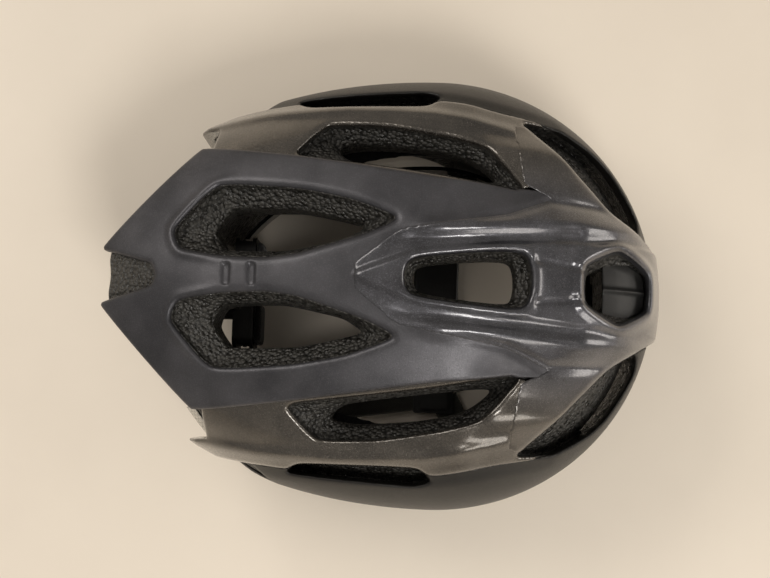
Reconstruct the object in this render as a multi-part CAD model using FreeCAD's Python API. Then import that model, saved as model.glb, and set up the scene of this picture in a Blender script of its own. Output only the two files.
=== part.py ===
import FreeCAD
import Part
import math
import os

# Vented in-mould bicycle helmet with a dial-adjusted head cradle and a chin strap.
# Millimetres. +X forward, +Y the wearer's left, +Z up. The origin is on the
# ground plane, under the middle of the helmet's length and width.

Vector = FreeCAD.Vector
ORIGIN = Vector(0, 0, 0)
UP = Vector(0, 0, 1)
LEFT = Vector(0, 1, 0)
FORWARD = Vector(1, 0, 0)

# Overall sizes
helmet_length = 278.0
helmet_width = 222.0
helmet_height = 150.0

# Outer form: two egg domes share the front, the top and the widest line
widest_x = 25.0             # widest cross-section, forward of the middle
widest_z = 55.0             # height of the widest line
rim_share = 0.94            # width at the ground over the widest width
rear_rim_gap = 11.0         # how far the rear rim stops short of the tail tips
wing_reach = 180.0          # rear reach of the side wings' form, before the rear wall cuts it
rear_wall_extra = 14.0      # half width of the rear wall's oval over the helmet's half width
deck_reach = 198.0          # rear reach of the flatter dome that the deck lies on
band_sink = 2.5             # top of the bands' form under the top of the crest's
deck_extra_width = 7.0      # that dome's half width over the helmet's half width

# Walls and gaps
shell_thickness = 1.4
foam_front = 31.0
foam_side = 28.0
foam_rear = 30.0
foam_top = 24.0
vent_depth = 13.0           # depth of the bead-foam ramp round each through hole
parting_gap = 0.2           # between the left and right side foams
panel_gap = 0.5             # line between two shell panels
crest_gap = 0.8             # line round the crest, which stands a little proud
seat_gap = 0.05             # piece seated on its neighbour in one body
free_gap = 0.8              # moving piece beside another piece
running_gap = 0.05          # radial, pin in a hinge

# Rear deck
tail_half_width = 13.0      # tips of the tail
notch_half_width = 5.2
notch_depth = 29.0
deck_corner_x = -91.0
deck_corner_y = 63.5
deck_arm_x = 69.0
deck_arm_y = 43.5
tail_foam_z = 66.0          # where the tail's underside meets the rear wall
tail_foam_slope = 0.55

# Rim openings
brow_height = 36.0
ear_height = 26.0
nape_half_width = 27.0
nape_height = 58.0
shell_hem_z = 6.0           # lower edge of the lower shell over the ground

# Head cradle
arm_thickness = 2.0
arm_low_z = 19.0
arm_high_z = 31.0
arm_offset = 10.0           # from the foam's inner wall to the arm
pivot_x = 58.0
pivot_z = 25.0
stud_radius = 3.0
stud_head_radius = 5.5
boss_radius = 6.0
housing_width = 60.0
housing_height = 30.0
housing_depth = 11.0
housing_offset = 16.0       # from the foam behind to the housing
housing_wall = 2.0
dial_radius = 14.0
dial_length = 9.0
dial_ribs = 18
dial_rib_radius = 1.1
pinion_teeth = 12
pinion_pitch_radius = 6.0
tooth_height = 1.6
rack_travel = 9.0
rack_reach = 28.5           # outer end of each rack from the middle
rack_height = 6.0
rack_thickness = 1.6
strip_width = 14.0
strip_top_z = 72.0
strip_rise = 14.0           # room over the strip when the cradle swings up

# Pads
pad_gap = 1.3
pad_thickness = 7.0
dot_radius = 8.0

# Straps and their hardware
strap_width = 15.0
strap_thickness = 1.5
strap_floor = 3.0           # underside of the straps over the ground
strap_inset = 1.8           # from the foam to the middle of a strap that hangs beside it
chin_x = 28.0
divider_y = 50.0
divider_length = 24.0
divider_width = 22.0
divider_height = 5.4
divider_floor = 0.6         # underside of the dividers over the ground
lever_thickness = 2.2
cam_pin_radius = 1.2
buckle_width = 25.0
buckle_height = 8.0
socket_length = 28.0
tongue_length = 16.0
prong_length = 11.0
buckle_wall = 1.6
buckle_floor = 0.4          # underside of the buckle over the ground
anchor_radius = 7.0
anchor_depth = 14.0
anchor_z = 46.0
front_strap_x = 43.0
rear_strap_x = -38.0

# Worked out from the sizes above
half_length = helmet_length / 2
half_width = helmet_width / 2
front_reach = half_length - widest_x
rear_reach = half_length + widest_x - rear_rim_gap
deck_half_width = half_width + deck_extra_width
cavity_front = front_reach - foam_front
cavity_rear = rear_reach - foam_rear
cavity_half_width = half_width - foam_side
cavity_top = helmet_height - foam_top
cavity_back_x = widest_x - cavity_rear
tall = 2 * helmet_height
housing_x = cavity_back_x + housing_offset  # rear face of the dial housing
housing_z = pivot_z
strap_mid_z = strap_floor + strap_thickness / 2

parts = {}


def box(low, high):
    """Box between two opposite corners."""
    size = [b - a for a, b in zip(low, high)]
    return Part.makeBox(size[0], size[1], size[2], Vector(*low))


def cylinder(radius, start, axis, length):
    return Part.makeCylinder(radius, length, Vector(*start), axis)


def mirrored(shape):
    """The same piece on the wearer's right."""
    return shape.mirror(ORIGIN, LEFT)


def both(shape):
    return [shape, mirrored(shape)]


def dome(inset):
    """Outer form of the side bands and the rim, shrunk by inset on every side."""
    front = front_reach - band_sink / 2 - inset
    top = helmet_height - band_sink - inset
    form = egg(front, wing_reach - inset, half_width - inset, top, 0.0)
    wall = (rear_reach - inset, rear_reach - inset, half_width + rear_wall_extra - inset)
    return form.common(oval(*wall, -1.0, tall))


def deck_dome(inset):
    """Outer form of the crest and the rear deck, a little higher than the bands'."""
    sizes = (front_reach - inset, deck_reach - inset, deck_half_width - inset)
    return egg(*sizes, helmet_height - inset, 0.0)


def cavity(inset):
    """Head room, shrunk by inset."""
    front = cavity_front - inset
    sizes = (front, cavity_rear - inset, cavity_half_width - inset, cavity_top - inset)
    return egg(*sizes, -1.0)


def egg(front, back, side, top, base):
    """Closed egg of four ellipsoid patches that meet at the widest line and section."""
    unit = 100.0
    lower = widest_z / math.sqrt(1 - rim_share ** 2)
    patches = []
    for reach, turn in ((front, -90), (back, 90)):
        for height, low, high in ((top - widest_z, 0, 90), (lower, -90, 0)):
            patch = Part.makeSphere(unit, ORIGIN, UP, low, high, 180)
            patch.rotate(ORIGIN, UP, turn)
            stretch = FreeCAD.Matrix()
            stretch.scale(reach / unit, side / unit, height / unit)
            patches.append(patch.transformGeometry(stretch))
    whole = patches[0].fuse(patches[1:])
    whole.translate(Vector(widest_x, 0, widest_z))
    room = box((-tall, -tall, base), (tall, tall, tall))
    return whole.common(room)


def layer(inner, outer):
    """Thin layer of the head room, from outer to inner millimetres off the foam."""
    return cavity(outer).cut(cavity(inner))


def oval_wall(outer, inner, low, high):
    """Upright wall that follows the head room, from outer to inner millimetres off the foam."""
    solids = []
    for inset in (outer, inner):
        sizes = (cavity_front - inset, cavity_rear - inset, cavity_half_width - inset)
        solids.append(oval(*sizes, low, high))
    return solids[0].cut(solids[1])


def oval(front, back, side, low, high):
    """Upright oval prism, its widest section in line with the helmet's."""
    unit = 100.0
    patches = []
    for reach, turn in ((front, -90), (back, 90)):
        patch = Part.makeCylinder(unit, high - low, ORIGIN, UP, 180)
        patch.rotate(ORIGIN, UP, turn)
        stretch = FreeCAD.Matrix()
        stretch.scale(reach / unit, side / unit, 1)
        patches.append(patch.transformGeometry(stretch))
    return patches[0].fuse(patches[1]).translated(Vector(widest_x, 0, low))


def rounded_outline(points, radius, z=0.0):
    """Closed wire through the points, each corner rounded as far as its sides allow."""
    edges = []
    ends = []
    count = len(points)
    for i in range(count):
        here = Vector(points[i][0], points[i][1], z)
        back = Vector(points[i - 1][0], points[i - 1][1], z) - here
        ahead = Vector(points[(i + 1) % count][0], points[(i + 1) % count][1], z) - here
        half = back.getAngle(ahead) / 2
        reach = min(radius / math.tan(half), 0.45 * back.Length, 0.45 * ahead.Length)
        middle = here + (back.normalize() + ahead.normalize()).normalize() * (
            reach / math.cos(half) - reach * math.tan(half))
        start = here + back * reach
        stop = here + ahead * reach
        ends.append((start, middle, stop))
    for i in range(count):
        start, middle, stop = ends[i]
        edges.append(Part.Arc(start, middle, stop).toShape())
        edges.append(Part.LineSegment(stop, ends[(i + 1) % count][0]).toShape())
    return Part.Wire(edges)


def prism(points, radius, low=-1.0, high=tall):
    """Upright prism over a rounded outline."""
    face = Part.Face(rounded_outline(points, radius, low))
    return face.extrude(Vector(0, 0, high - low))


def symmetric(points):
    """Outline from its left half, listed from front to back."""
    return points + [(x, -y) for x, y in reversed(points) if y > 0]


# Vent outlines, seen from above, as (x, y) on the left side or across the middle
teardrop = [(4.5, 27), (-42, 40.5), (-81, 43.5), (-100.5, 20.5), (-95, 12.5),
            (-76, 8.8), (-50, 8.8), (-20, 14)]
teardrop_hole = [(-6, 23), (-40, 33), (-76, 34), (-84, 22), (-78, 13), (-48, 12), (-20, 18)]
centre_vent = symmetric([(65, 14), (8, 8.6)])
centre_hole = symmetric([(58, 12), (11, 7)])
front_vent = symmetric([(126, 10), (110, 17.5), (91.5, 9)])
front_hole = symmetric([(104, 11), (93, 7)])
side_vent = [(62, 44.5), (45, 64), (26, 69.5), (-2, 74), (-31, 75.5), (-45, 60), (-9, 53), (23, 48)]
side_hole = [(54, 48), (40, 60), (20, 65), (-12, 68), (-26, 66), (-20, 57), (22, 51)]
corner_vent = [(66, 79), (90, 55), (122, 29), (125, 40), (117, 53), (103, 67), (84, 80)]
band_slot = [(24, 94), (18, 87.5), (-40, 88), (-47, 92.5), (17, 96.5)]


def deck_outline(grow=0.0):
    """Plan of the rear deck: tail tips, corners and the two arms along the side vents."""
    tip = -half_length
    return symmetric([
        (deck_arm_x, deck_arm_y + grow), (23, 47 + grow), (-9, 52 + grow),
        (deck_corner_x + 45, 58 + grow), (deck_corner_x, deck_corner_y + grow),
        (tip, tail_half_width + grow)])


def crest_outline():
    """Plan of the glossy crest, from between the teardrops to the brow."""
    return symmetric([(half_length + 6, 17), (124, 29), (90, 56), (66, 80), (58, 76), (63, 44),
                      (5, 22), (-15, 6)])


def notch():
    tip = -half_length
    return prism([(tip - 20, tail_half_width + 4.5), (tip, tail_half_width - 1.5),
                  (tip + notch_depth, notch_half_width), (tip + notch_depth, -notch_half_width),
                  (tip, 1.5 - tail_half_width), (tip - 20, -tail_half_width - 4.5)], 3.0)


def shell_vents():
    """Every opening that the shells leave."""
    solids = both(prism(teardrop, 5)) + both(prism(side_vent, 4)) + both(prism(corner_vent, 4))
    solids += both(prism(band_slot, 2, low=60))
    return solids + [prism(centre_vent, 4), prism(front_vent, 4)]


def foam_vents():
    """Ramped pockets and the narrower holes that go through to the head."""
    floor = dome(vent_depth)
    pockets = both(prism(teardrop, 5)) + both(prism(side_vent, 4)) + both(prism(corner_vent, 4))
    pockets += [prism(centre_vent, 4), prism(front_vent, 4)]
    pockets += both(prism(band_slot, 2, low=60))
    solids = [pocket.cut(floor) for pocket in pockets]
    solids += both(prism(teardrop_hole, 6, low=widest_z)) + both(prism(side_hole, 4, low=70))
    solids += [prism(centre_hole, 4, low=widest_z), prism(front_hole, 3, low=70)]
    return solids


def rim_trims():
    """What the rim leaves open: under the brow, over the ears and at the nape."""
    front = half_length + 5
    deep = -10.0
    brow = [Vector(front, 0, brow_height), Vector(108, 0, brow_height - 6), Vector(76, 0, 4),
            Vector(66, 0, deep)]
    ear = [Vector(28, 0, deep), Vector(20, 0, 4), Vector(-6, 0, ear_height),
           Vector(-34, 0, ear_height - 6), Vector(-58, 0, 2), Vector(-62, 0, deep)]
    solids = []
    for points, corner in ((brow, [Vector(front, 0, deep)]), (ear, [])):
        curve = Part.BSplineCurve()
        curve.interpolate(points)
        edges = [curve.toShape()]
        way_back = points[-1:] + corner + points[:1]
        for start, stop in zip(way_back, way_back[1:]):
            edges.append(Part.LineSegment(start, stop).toShape())
        face = Part.Face(Part.Wire(edges))
        face.translate(Vector(0, -tall, 0))
        solids.append(face.extrude(Vector(0, 2 * tall, 0)))
    arch_top = nape_height - nape_half_width
    back = -half_length - 5
    reach = 60.0
    solids.append(box((back, -nape_half_width, deep), (back + reach, nape_half_width, arch_top)))
    solids.append(cylinder(nape_half_width, (back, 0, arch_top), FORWARD, reach))
    return solids


def under_tail():
    """Wedge of air under the tail's overhang."""
    low_x = widest_x - rear_reach + 12
    far_x = -half_length - 10
    far_z = tail_foam_z + tail_foam_slope * (low_x - far_x)
    points = [Vector(low_x, 0, -1), Vector(low_x, 0, tail_foam_z), Vector(far_x, 0, far_z),
              Vector(far_x, 0, -1), Vector(low_x, 0, -1)]
    face = Part.Face(Part.makePolygon(points))
    face.translate(Vector(0, -tall, 0))
    return face.extrude(Vector(0, 2 * tall, 0))


def crown_prism(grow=0.0):
    """Plan of everything under the deck and the crest."""
    return prism(deck_outline(grow), 4, low=widest_z).fuse(prism(crest_outline(), 4, low=widest_z))


def build_liner():
    inset = shell_thickness + seat_gap
    plan = crown_prism()
    crown = deck_dome(inset).common(plan)
    crown = crown.cut([under_tail(), cavity(0), notch()])
    sides = dome(inset).cut(plan)
    sides = sides.cut([cavity(0)] + rim_trims())
    vents = foam_vents()
    crown = crown.cut(vents)
    sides = sides.cut(vents)
    sockets = both(stud_shaft())
    for x in (front_strap_x, rear_strap_x):
        sockets += both(anchor_plug(x, seat_gap))
    parts["crown_foam"] = crown
    left_side = box((-tall, parting_gap / 2, -1), (tall, tall, tall))
    parts["side_foam_left"] = sides.cut(sockets).common(left_side)
    parts["side_foam_right"] = mirrored(parts["side_foam_left"])


def stud_shaft():
    """Temple stud's shaft, from inside the arm into the foam."""
    return cylinder(stud_radius, (pivot_x, arm_y() - 8, pivot_z), LEFT, 26)


def arm_y():
    """Sideways place of the cradle's arm at the temple pivot."""
    share = (pivot_x - widest_x) / (cavity_front - arm_offset)
    return (cavity_half_width - arm_offset) * math.sqrt(1 - share ** 2)


def build_shells():
    skin = deck_dome(0).cut(deck_dome(shell_thickness))
    vents = shell_vents()
    crest_plan = prism(crest_outline(), 4, low=widest_z)
    crest_room = prism(scaled(crest_outline(), crest_gap), 4, low=widest_z)
    deck_plan = prism(deck_outline(), 4, low=widest_z)
    parts["crest_shell"] = skin.common(crest_plan).cut(vents)
    parts["rear_deck"] = skin.common(deck_plan).cut([crest_room, notch()] + vents)
    low_skin = dome(0).cut([dome(shell_thickness), crest_room])
    low_skin = low_skin.cut(prism(deck_outline(panel_gap), 4, low=widest_z))
    hem = box((-tall, -tall, -1), (tall, tall, shell_hem_z))
    low_skin = low_skin.cut([hem] + rim_trims() + vents)
    left_band = prism(band_outline(), 3, low=widest_z)
    left_room = prism(scaled(band_outline(), panel_gap), 3, low=widest_z)
    parts["side_band_left"] = low_skin.common(left_band)
    parts["side_band_right"] = mirrored(parts["side_band_left"])
    rim = low_skin.cut([left_room, mirrored(left_room)])
    parts["rim_shell"] = max(rim.Solids, key=lambda solid: solid.Volume)


def band_outline():
    """Plan of the glossy band between the side vent and the slot, on the left."""
    return [(60, 84), (27, 92), (-50, 91), (-100, 77), (-92, 50), (-40, 50), (45, 40), (62, 62)]


def scaled(points, grow):
    """Outline stretched away from its middle by about grow millimetres."""
    middle_x = sum(x for x, y in points) / len(points)
    middle_y = sum(y for x, y in points) / len(points)
    grown = []
    for x, y in points:
        away = math.hypot(x - middle_x, y - middle_y)
        factor = 1 + grow / away
        grown.append((middle_x + (x - middle_x) * factor, middle_y + (y - middle_y) * factor))
    return grown


def build_reflectors():
    """Pale strip on each rear corner of the rim, under the deck's corner."""
    skin = dome(-0.8).cut(dome(-seat_gap))
    strip = skin.common(prism([(-86, 60), (-86, 90), (-112, 90), (-112, 52)], 1, 30, 44))
    parts["reflector_left"] = strip
    parts["reflector_right"] = mirrored(strip)


def build_pads():
    cushion = layer(pad_gap + pad_thickness, pad_gap)
    brow = cushion.common(prism(symmetric([(120, 45), (84, 38)]), 6, 44, 62))
    parts["brow_pad"] = brow
    parts["crown_pad"] = cushion.common(prism(symmetric([(-2, 9), (-66, 8)]), 6, 60, tall))
    side = cushion.common(prism([(50, 55), (50, 90), (-30, 90), (-30, 55)], 8, 56, 80))
    parts["side_pad_left"] = side
    parts["side_pad_right"] = mirrored(side)
    dot_layer = layer(pad_gap - seat_gap, seat_gap)
    dots = []
    for x in (-55, -20):
        dots.append(dot_layer.common(cylinder(dot_radius - 2, (x, 0, 60), UP, tall)))
    for x in (-15, 35):
        dot = dot_layer.common(cylinder(dot_radius, (x, 20, 68), LEFT, 90))
        dots += both(dot)
    for y in (-24, 0, 24):
        dots.append(dot_layer.common(cylinder(dot_radius, (60, y, 53), FORWARD, 70)))
    parts["pad_dots"] = Part.makeCompound(dots)


def build_cradle():
    """Arms from the temple studs to the dial housing, with its racks, dial and pads."""
    strip = oval_wall(arm_offset, arm_offset + arm_thickness, arm_low_z, arm_high_z)
    room = box((housing_x + 4, 1, arm_low_z - 1), (pivot_x + 12, half_width, arm_high_z + 1))
    arm = strip.common(room)
    arm = arm.cut(box((-half_length, -1, 0), (housing_x + housing_depth + seat_gap,
                                             housing_width / 2 + seat_gap, tall)))
    y = arm_y()
    boss = cylinder(boss_radius, (pivot_x, y - 5.6, pivot_z), LEFT, 8.6)
    arm = arm.fuse(boss)
    arm = arm.cut(cylinder(stud_radius + running_gap, (pivot_x, y - 20, pivot_z), LEFT, 60))
    parts["cradle_arm_left"] = arm
    parts["cradle_arm_right"] = mirrored(arm)
    head = cylinder(stud_head_radius, (pivot_x, y - 8, pivot_z), LEFT, 2)
    stud = stud_shaft().fuse(head)
    collar = cylinder(stud_head_radius, (pivot_x, y + 3.8, pivot_z), LEFT, 2)
    stud = stud.fuse(collar)
    parts["temple_stud_left"] = stud
    parts["temple_stud_right"] = mirrored(stud)
    build_housing()
    build_racks()
    build_dial()
    build_slider()


def build_housing():
    low = housing_z - housing_height / 2
    high = housing_z + housing_height / 2
    half = housing_width / 2
    front = housing_x + housing_depth
    shell = box((housing_x, -half, low), (front, half, high))
    inside = box((housing_x + housing_wall, -half - 1, housing_z - rack_room()),
                 (front - housing_wall, half + 1, housing_z + rack_room()))
    upright = [e for e in shell.Edges if abs(e.tangentAt(e.FirstParameter).x) > 0.9]
    shell = shell.makeFillet(6, upright)
    shell = shell.cut(inside)
    shell = shell.cut(cylinder(4 + running_gap, (housing_x - 1, 0, housing_z), FORWARD, housing_wall + 2))
    cover_x = front - housing_wall - seat_gap
    cover = shell.common(box((cover_x, -tall, -1), (tall, tall, tall)))
    parts["dial_cover"] = cover.translated(Vector(seat_gap, 0, 0))
    parts["dial_housing"] = shell.cut(box((cover_x, -tall, -1), (tall, tall, tall)))


def rack_room():
    """Half height of the channel that the racks and the pinion run in."""
    return pinion_pitch_radius + tooth_height / 2 + rack_height + free_gap


def rack_x():
    return housing_x + housing_wall + 1.6


def build_racks():
    """Two toothed bands, one over and one under the pinion."""
    pitch = 2 * math.pi * pinion_pitch_radius / pinion_teeth
    base = pinion_pitch_radius + tooth_height / 2 + 0.2
    for name, side, up in (("rack_band_left", 1, 1), ("rack_band_right", -1, -1)):
        low, high = sorted((up * base, up * (base + rack_height)))
        start, stop = sorted((-side * 14.0, side * rack_reach))
        band = box((rack_x(), start, housing_z + low),
                   (rack_x() + rack_thickness, stop, housing_z + high))
        teeth = []
        for k in range(-4, 5):
            middle = (k + 0.5) * pitch
            tip = up * (pinion_pitch_radius - tooth_height / 2 + 0.3)
            points = [Vector(rack_x(), middle - 0.9, housing_z + up * base),
                      Vector(rack_x(), middle - 0.35, housing_z + tip),
                      Vector(rack_x(), middle + 0.35, housing_z + tip),
                      Vector(rack_x(), middle + 0.9, housing_z + up * base)]
            face = Part.Face(Part.makePolygon(points + [points[0]]))
            teeth.append(face.extrude(Vector(rack_thickness, 0, 0)))
        parts[name] = band.fuse(teeth)


def build_dial():
    """Knob behind the housing, with its pinion on the same spindle."""
    root = pinion_pitch_radius - tooth_height / 2
    pinion = cylinder(root, (rack_x(), 0, housing_z), FORWARD, rack_thickness)
    for k in range(pinion_teeth):
        points = [Vector(rack_x(), -0.9, root - 0.3), Vector(rack_x(), -0.35, root + tooth_height),
                  Vector(rack_x(), 0.35, root + tooth_height), Vector(rack_x(), 0.9, root - 0.3)]
        tooth = Part.Face(Part.makePolygon(points + [points[0]])).extrude(Vector(rack_thickness, 0, 0))
        tooth.rotate(ORIGIN, FORWARD, 360.0 * k / pinion_teeth)
        pinion = pinion.fuse(tooth.translated(Vector(0, 0, housing_z)))
    parts["dial_pinion"] = pinion
    back = housing_x - free_gap - dial_length
    knob = cylinder(dial_radius, (back, 0, housing_z), FORWARD, dial_length)
    knob = knob.makeFillet(2.0, [e for e in knob.Edges if abs(e.BoundBox.XMax - back) < 0.01])
    for k in range(dial_ribs):
        angle = 2 * math.pi * k / dial_ribs
        spot = (back - 1, dial_radius * math.cos(angle), housing_z + dial_radius * math.sin(angle))
        knob = knob.cut(cylinder(dial_rib_radius, spot, FORWARD, dial_length + 2))
    spindle_end = rack_x() - seat_gap
    spindle = cylinder(4, (housing_x - free_gap - 1, 0, housing_z), FORWARD,
                       spindle_end - housing_x + free_gap + 1)
    parts["dial_knob"] = knob.fuse(spindle)


def build_slider():
    """Upright strip of the cradle and the pair of rails that guide it on the foam."""
    x = housing_x + 2
    low = housing_z + housing_height / 2 + seat_gap
    strip = box((x, -strip_width / 2, low), (x + 1.6, strip_width / 2, strip_top_z))
    slots = []
    for z in (46, 54, 62):
        slots.append(box((x - 1, -2.5, z), (x + 3, 2.5, z + 4)))
    parts["slider_strip"] = strip.cut(slots)
    rail_y = strip_width / 2 + free_gap
    rail = box((cavity_back_x - 10, rail_y, nape_height + 4),
               (x + 5, rail_y + 3, strip_top_z + strip_rise + 4))
    rail = rail.common(cavity(seat_gap))
    bridge = box((cavity_back_x - 10, -rail_y, strip_top_z + strip_rise),
                 (x + 5, rail_y, strip_top_z + strip_rise + 4))
    parts["slider_rail"] = rail.fuse([mirrored(rail), bridge.common(cavity(seat_gap))])
    for name, side in (("cradle_pad_left", 1), ("cradle_pad_right", -1)):
        front = housing_x + housing_depth + seat_gap
        start, stop = sorted((side * 5.0, side * (housing_width / 2 - 2)))
        pad = box((front, start, housing_z - 12), (front + 4, stop, housing_z + 12))
        parts[name] = pad.makeFillet(1.9, [e for e in pad.Edges if e.BoundBox.XMin > front + 3.9])


def ribbon(start, stop, across, width=strap_width, thickness=strap_thickness):
    """Straight length of webbing between two points, its width along the vector across."""
    a = Vector(*start)
    b = Vector(*stop)
    side = Vector(*across).normalize() * (width / 2)
    through = (b - a).cross(side).normalize() * (thickness / 2)
    corners = [a - side - through, a + side - through, b + side - through, b - side - through]
    face = Part.Face(Part.makePolygon(corners + [corners[0]]))
    return face.extrude(through * 2)


def wall_y(x, inset, z=widest_z):
    """Half width of the head room at x and z, inset millimetres inside the foam."""
    reach = (cavity_front if x > widest_x else cavity_rear) - inset
    share = 1 - ((x - widest_x) / reach) ** 2
    lower = widest_z / math.sqrt(1 - rim_share ** 2)
    share -= ((z - widest_z) / lower) ** 2
    return (cavity_half_width - inset) * math.sqrt(share)


def side_strap(x, entry_x):
    """Webbing from an anchor down the foam, then along the ground to the divider."""
    top = (x, wall_y(x, strap_inset, anchor_z), anchor_z)
    foot = (x, wall_y(x, strap_inset + 2.5, strap_floor), strap_mid_z)
    end = (entry_x, divider_y + 3, strap_mid_z)
    across = (end[1] - foot[1], foot[0] - end[0], 0)
    along_wall = (10, wall_y(x + 5, 0) - wall_y(x - 5, 0), 0)
    upright = ribbon(top, foot, along_wall)
    return upright.fuse(ribbon(foot, end, across, strap_width * 0.8))


def anchor_plug(x, gap):
    """Round plug moulded into the foam, which holds a strap's end."""
    y = wall_y(x, 0, anchor_z)
    return cylinder(anchor_radius + gap, (x, y - 2.5, anchor_z), LEFT, anchor_depth + gap)


def build_straps():
    spread = 6.0
    divider_room = divider_box(seat_gap)
    for place, x, entry in (("front", front_strap_x, chin_x + spread),
                            ("rear", rear_strap_x, chin_x - spread)):
        strap = side_strap(x, entry).cut(divider_room)
        parts["strap_" + place + "_left"] = strap
        parts["strap_" + place + "_right"] = mirrored(strap)
        anchor = anchor_plug(x, 0).cut(strap)
        parts["anchor_" + place + "_left"] = anchor
        parts["anchor_" + place + "_right"] = mirrored(anchor)
    low = strap_floor
    high = strap_floor + strap_thickness
    left = box((chin_x - strap_width / 2, socket_length - 1, low),
               (chin_x + strap_width / 2, divider_y - divider_length / 2 - seat_gap, high))
    parts["chin_strap_left"] = left
    reach = divider_y - 1
    right = box((chin_x - strap_width / 2, -reach, low),
                (chin_x + strap_width / 2, -tongue_length + 5.0, high))
    parts["chin_strap_right"] = right


def divider_box(gap):
    """Outer block of the left strap divider, grown by gap."""
    near = divider_y - divider_length / 2 - gap
    return box((chin_x - divider_width / 2 - gap, near, divider_floor - gap),
               (chin_x + divider_width / 2 + gap, divider_y + divider_length / 2 + gap,
                divider_floor + divider_height + gap))


def build_dividers():
    """Plastic strap dividers, each with a cam lever on a steel pin."""
    pin_y = divider_y - divider_length / 2 + 4.5
    pin_z = divider_floor + divider_height + 2.4
    half = divider_width / 2
    body = divider_box(0)
    body = body.makeFillet(1.2, [e for e in body.Edges if e.BoundBox.ZLength > 4])
    slot_half = strap_width / 2 + free_gap
    slot = box((chin_x - slot_half, divider_y - divider_length, strap_floor - free_gap),
               (chin_x + slot_half, divider_y + divider_length, strap_floor + strap_thickness + free_gap))
    body = body.cut(slot)
    for side in (-1, 1):
        x = chin_x + side * (half - 1.5)
        ear = box((x - 1.5, pin_y - 2.6, divider_floor + divider_height - 0.5),
                  (x + 1.5, pin_y + 2.6, pin_z + 2.2))
        body = body.fuse(ear)
    pin_low = chin_x - half
    pin = cylinder(cam_pin_radius, (pin_low, pin_y, pin_z), FORWARD, divider_width)
    body = body.cut(pin)
    arm_half = half - 3 - free_gap / 2
    lever = box((chin_x - arm_half, pin_y, pin_z - lever_thickness / 2),
                (chin_x + arm_half, pin_y + 17, pin_z + lever_thickness / 2))
    lever = lever.fuse(cylinder(2.1, (chin_x - arm_half, pin_y, pin_z), FORWARD, 2 * arm_half))
    lever = lever.cut(cylinder(cam_pin_radius + running_gap, (pin_low, pin_y, pin_z), FORWARD, 40))
    for name, shape in (("divider", body), ("cam_lever", lever), ("cam_pin", pin)):
        parts[name + "_left"] = shape
        parts[name + "_right"] = mirrored(shape)


def build_buckle():
    """Side-release buckle lying between the two chin straps."""
    half = buckle_width / 2
    low = buckle_floor
    high = low + buckle_height
    socket = box((chin_x - half, 0, low), (chin_x + half, socket_length, high))
    socket = socket.makeFillet(2.0, [e for e in socket.Edges if e.BoundBox.YLength > 20])
    mouth = box((chin_x - half + buckle_wall, -1, low + buckle_wall),
                (chin_x + half - buckle_wall, prong_length + 3, high - buckle_wall))
    socket = socket.cut(mouth)
    window = box((chin_x - half - 1, 3, low + buckle_wall + 0.4),
                 (chin_x + half + 1, 12, high - buckle_wall - 0.4))
    socket = socket.cut(window)
    strap_slot = box((chin_x - strap_width / 2 - 0.5, socket_length - 6, strap_floor - 0.3),
                     (chin_x + strap_width / 2 + 0.5, socket_length + 1,
                      strap_floor + strap_thickness + 0.3))
    bar = cylinder(1.4, (chin_x - half + 1, socket_length - 3, strap_floor + strap_thickness + 2.2),
                   FORWARD, buckle_width - 2)
    socket = socket.cut(strap_slot).fuse(bar)
    parts["buckle_socket"] = socket
    gap = free_gap / 2
    tongue = box((chin_x - half, -tongue_length, low), (chin_x + half, -gap, high))
    tongue = tongue.makeFillet(2.0, [e for e in tongue.Edges if e.BoundBox.YLength > 12])
    tongue = tongue.cut(strap_slot.mirror(Vector(0, socket_length / 2, 0), LEFT).translated(
        Vector(0, -tongue_length, 0)))
    inner = half - buckle_wall - gap
    prong_low = low + buckle_wall + gap
    prong_high = high - buckle_wall - gap
    for side in (-1, 1):
        x = chin_x + side * (inner - 1.5)
        tongue = tongue.fuse(box((x - 1.5, -2, prong_low), (x + 1.5, prong_length, prong_high)))
    guide = box((chin_x - 1.5, -2, prong_low), (chin_x + 1.5, prong_length, prong_high))
    parts["buckle_tongue"] = tongue.fuse(guide)
    ring_y = 0.5 * (socket_length + divider_y - divider_length / 2)
    outer = box((chin_x - half + 2, ring_y - 2.5, strap_floor - 1.4),
                (chin_x + half - 2, ring_y + 2.5, strap_floor + strap_thickness + 1.4))
    inside = box((chin_x - strap_width / 2 - seat_gap, ring_y - 3, strap_floor - seat_gap),
                 (chin_x + strap_width / 2 + seat_gap, ring_y + 3,
                  strap_floor + strap_thickness + seat_gap))
    parts["strap_ring"] = outer.cut(inside)


build_liner()
build_shells()
build_reflectors()
build_pads()
build_cradle()
build_straps()
build_dividers()
build_buckle()
for name, shape in parts.items():
    print(name, shape.isValid(), len(shape.Solids), round(shape.Volume / 1000, 1), "cm3")

os.makedirs("parts", exist_ok=True)
for name, shape in parts.items():
    shape.exportStep("parts/" + name + ".step")
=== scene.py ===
import bpy
import math
import numpy as np
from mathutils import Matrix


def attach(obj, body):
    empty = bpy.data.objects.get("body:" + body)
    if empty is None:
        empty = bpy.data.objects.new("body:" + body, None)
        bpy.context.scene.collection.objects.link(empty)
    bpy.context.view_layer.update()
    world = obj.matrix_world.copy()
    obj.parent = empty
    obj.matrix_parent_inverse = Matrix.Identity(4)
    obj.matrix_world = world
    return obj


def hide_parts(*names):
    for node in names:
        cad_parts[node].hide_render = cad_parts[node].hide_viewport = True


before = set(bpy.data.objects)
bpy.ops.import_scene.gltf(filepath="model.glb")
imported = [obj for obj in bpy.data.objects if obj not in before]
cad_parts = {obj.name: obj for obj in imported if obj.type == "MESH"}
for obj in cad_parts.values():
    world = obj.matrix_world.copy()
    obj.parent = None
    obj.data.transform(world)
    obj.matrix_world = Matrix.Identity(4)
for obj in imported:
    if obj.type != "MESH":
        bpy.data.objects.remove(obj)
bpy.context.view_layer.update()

import openvdb
from mathutils import Matrix, Vector

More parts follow.
